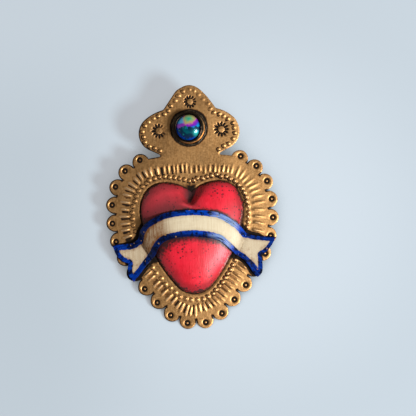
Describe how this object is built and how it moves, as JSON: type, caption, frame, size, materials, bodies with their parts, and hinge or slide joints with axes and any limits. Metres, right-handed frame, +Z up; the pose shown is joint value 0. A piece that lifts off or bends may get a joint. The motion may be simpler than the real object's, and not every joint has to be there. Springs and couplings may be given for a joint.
{
  "type": "milagro brooch",
  "caption": "Scalloped gilt milagro with a crown, a hollow red heart, a painted swallow-tailed banner, a cup-set cabochon and a hinged bar pin with a safety catch on the back.",
  "frame": {"origin": "on the axis of the pin stem, at the middle of its free stretch", "axes": "+Z up from the foot to the crown, +Y out of the back, +X along the stem from the hinge to the point, which is to the right as the face is seen"},
  "size_m": [0.0496, 0.0103, 0.07],
  "materials": {
    "gilt_sheet": "brushed and antiqued, dark brown in the hollows",
    "red_paint": "satin red paint, brushed on, with dark specks and a dark rim",
    "banner_paint": "satin cream paint with a royal blue border, worn at the edges",
    "dark_brass": "black patina, rubbed bright along the lip",
    "solder": "dull, blackened",
    "coated_glass": "polished, with an iridescent coat",
    "plated_steel": "dull nickel plate",
    "pin_steel": "drawn wire, bright at the point"
  },
  "bodies": {
    "charm": {"backplate": "gilt_sheet", "heart_shell": "red_paint", "banner": "banner_paint", "bezel_cup": "dark_brass", "bezel_solder": "solder", "cabochon": "coated_glass", "pin_bar": "plated_steel", "bar_solder": "solder", "hinge_rivet": "plated_steel", "catch_housing": "plated_steel"},
    "pin": {"pin_stem": "pin_steel"},
    "safety": {"safety_roller": "plated_steel"}
  },
  "joints": [
    {"name": "pin_hinge", "type": "hinge", "parent": "charm", "child": "pin", "pos_m": [-0.012, 0, 0], "axis": [0, 0, 1], "range_deg": [0, 70]},
    {"name": "safety_turn", "type": "hinge", "parent": "charm", "child": "safety", "pos_m": [0.0122, 0, 0], "axis": [1, 0, 0], "range_deg": [0, 100]}
  ]
}
